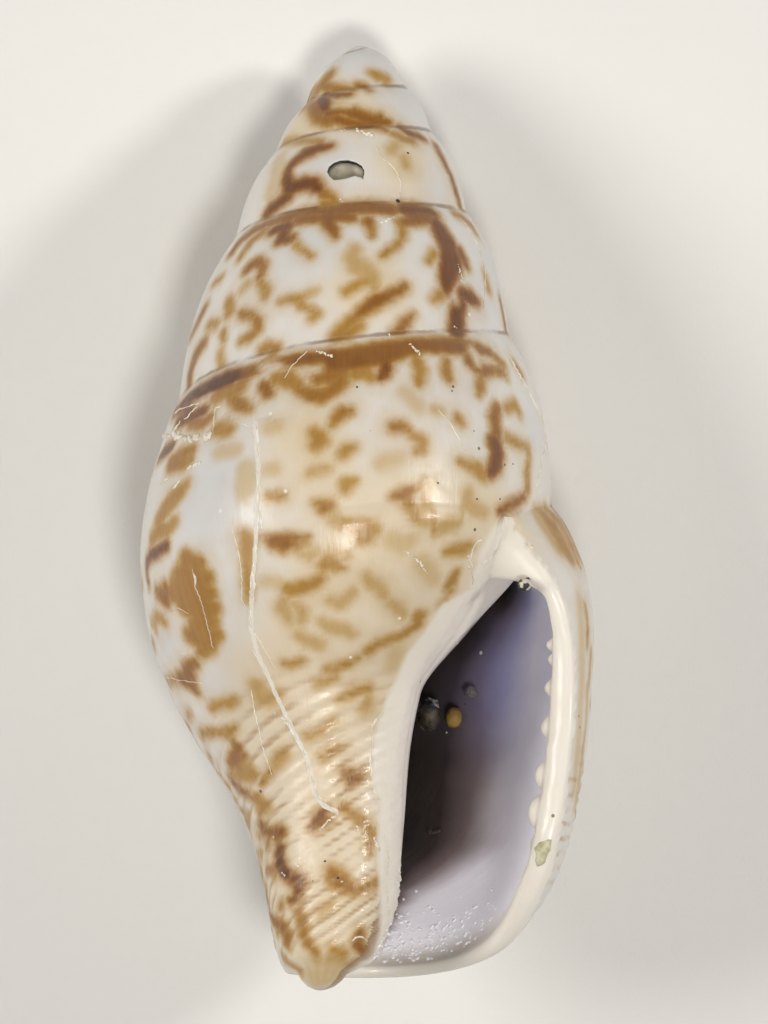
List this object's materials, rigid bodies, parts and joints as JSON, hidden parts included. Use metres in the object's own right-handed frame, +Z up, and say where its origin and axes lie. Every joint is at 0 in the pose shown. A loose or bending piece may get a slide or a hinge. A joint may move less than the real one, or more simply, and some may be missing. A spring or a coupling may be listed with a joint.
{
  "type": "dove shell",
  "caption": "Small spindle-shaped sea snail shell lying on its back, aperture up, with a toothed outer lip and a drill hole.",
  "frame": {"origin": "on the surface that the shell rests on, under the middle of its outline", "axes": "+Z up out of the aperture, +Y towards the apex, +X towards the outer lip"},
  "size_m": [0.0066, 0.0136, 0.0058],
  "materials": {
    "glossy_shell": "porcelain gloss with reddish brown flecks",
    "speckled_sand": "dull black and white speckled grain",
    "clear_quartz": "clear worn quartz",
    "amber_quartz": "amber stained quartz"
  },
  "bodies": {
    "root": {"shell": "glossy_shell", "speckled_grain": "speckled_sand", "clear_grain": "clear_quartz", "small_clear_grain": "clear_quartz", "amber_grain": "amber_quartz"}
  },
  "joints": []
}
